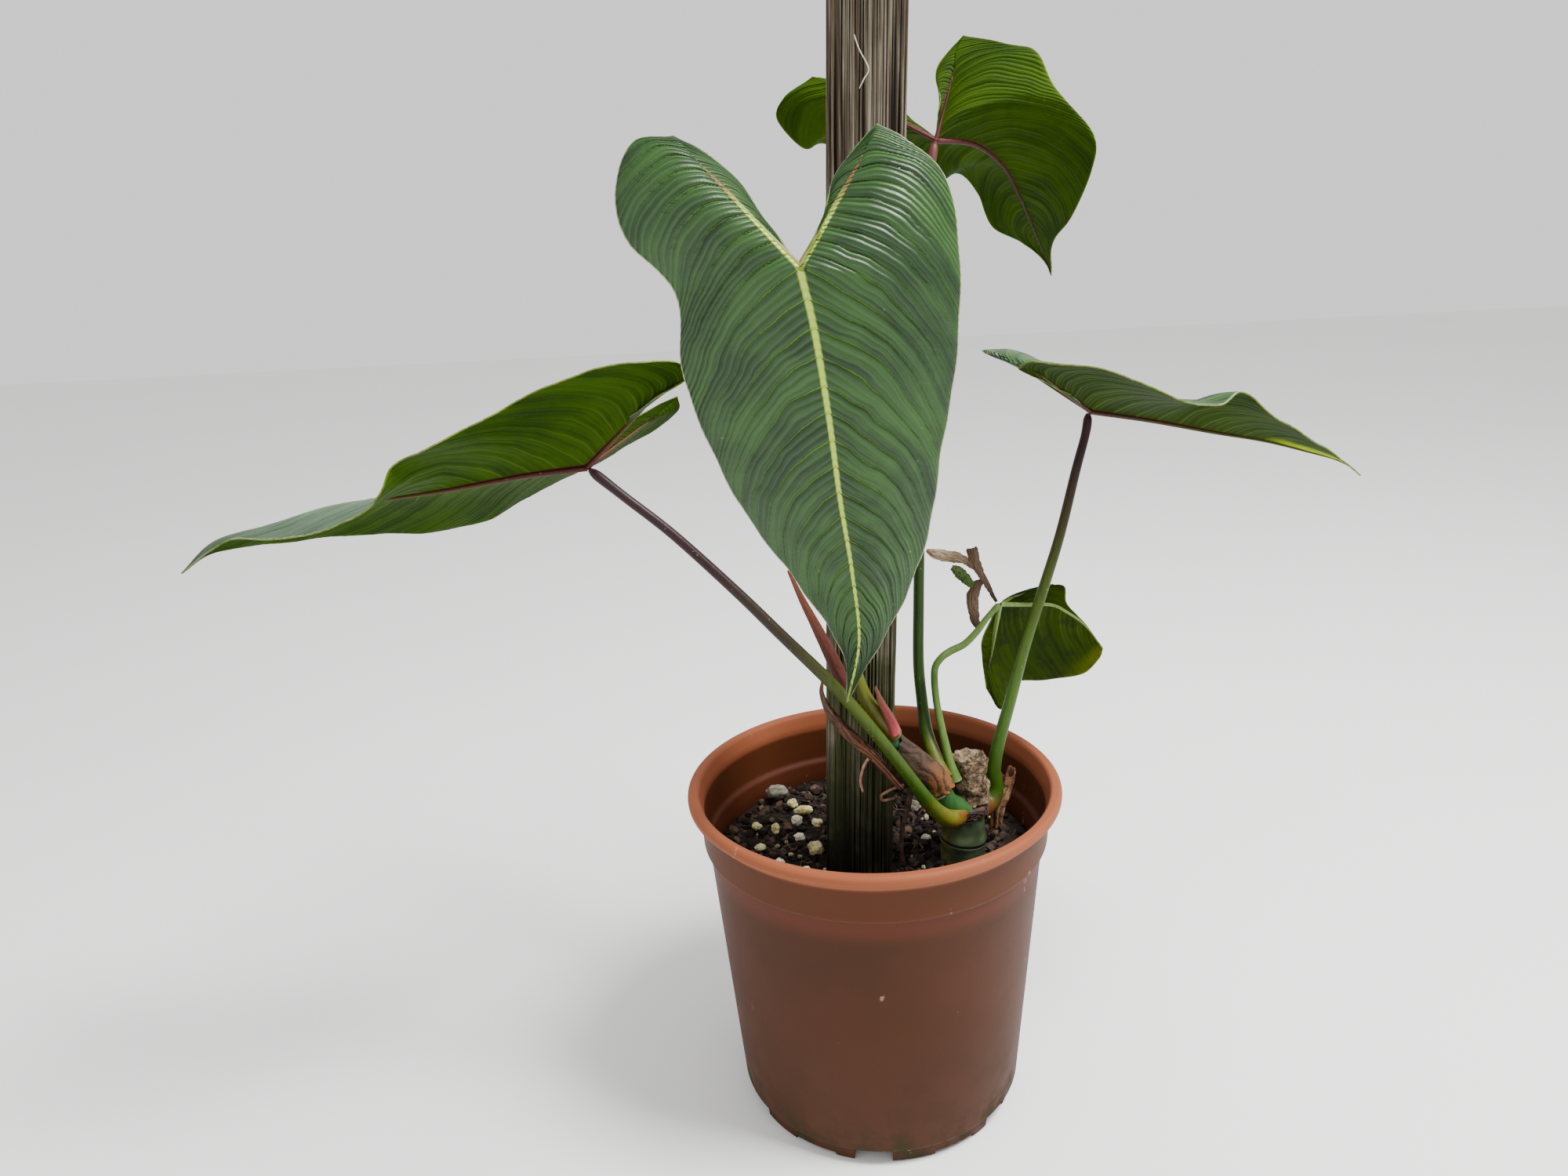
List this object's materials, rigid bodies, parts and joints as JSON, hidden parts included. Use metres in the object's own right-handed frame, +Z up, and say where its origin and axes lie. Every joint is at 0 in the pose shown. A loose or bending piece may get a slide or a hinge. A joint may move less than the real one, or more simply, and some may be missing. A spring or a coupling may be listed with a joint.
{
  "type": "potted philodendron",
  "caption": "Climbing aroid with large heart-shaped leaves, planted beside a square wooden stake in a round plastic nursery pot of potting mix.",
  "frame": {"origin": "centre of the pot's base, on the surface that the pot stands on", "axes": "+Z up along the pot's axis, -Y towards the side that the front leaf faces, +X to the right seen from there"},
  "size_m": [0.6192, 0.2393, 0.645],
  "materials": {
    "pot_plastic": "satin, terracotta colour",
    "mix": "rough, near black",
    "stake_wood": "weathered, rough",
    "stem_green": "satin",
    "stalk_green": "satin",
    "leaf_green": "satin, quilted",
    "cork": "rough",
    "dry_leaf": "papery, rough",
    "pink_scale": "satin",
    "root_brown": "rough",
    "pumice": "rough, pale",
    "pebble": "rough, grey"
  },
  "bodies": {
    "root": {"cut_stump": "cork", "dry_scale_leaf": "dry_leaf", "dry_sheath_stub": "dry_leaf", "front_leaf": "leaf_green", "front_leaf_stalk": "stalk_green", "leaf_scar_collar": "cork", "left_leaf": "leaf_green", "left_leaf_stalk": "stalk_green", "looped_root": "root_brown", "old_root": "root_brown", "papery_sheath": "dry_leaf", "pebble_back": "pebble", "pebble_grey": "pebble", "pink_root": "root_brown", "pink_scale_leaf": "pink_scale", "pot": "pot_plastic", "potting_mix": "mix", "pumice_back": "pumice", "pumice_behind": "pumice", "pumice_by_stake": "pumice", "pumice_edge": "pumice", "pumice_flat": "pumice", "pumice_large": "pumice", "pumice_left": "pumice", "pumice_low": "pumice", "pumice_oval": "pumice", "pumice_pair_a": "pumice", "pumice_pair_b": "pumice", "pumice_right": "pumice", "pumice_tall": "pumice", "pumice_yellow": "pumice", "right_leaf": "leaf_green", "right_leaf_stalk": "stalk_green", "side_shoot": "stem_green", "small_leaf": "leaf_green", "small_leaf_stalk": "stalk_green", "stake": "stake_wood", "stem_foot": "stem_green", "tall_scale_leaf": "pink_scale", "top_leaf": "leaf_green", "top_leaf_stalk": "stalk_green"}
  },
  "joints": []
}
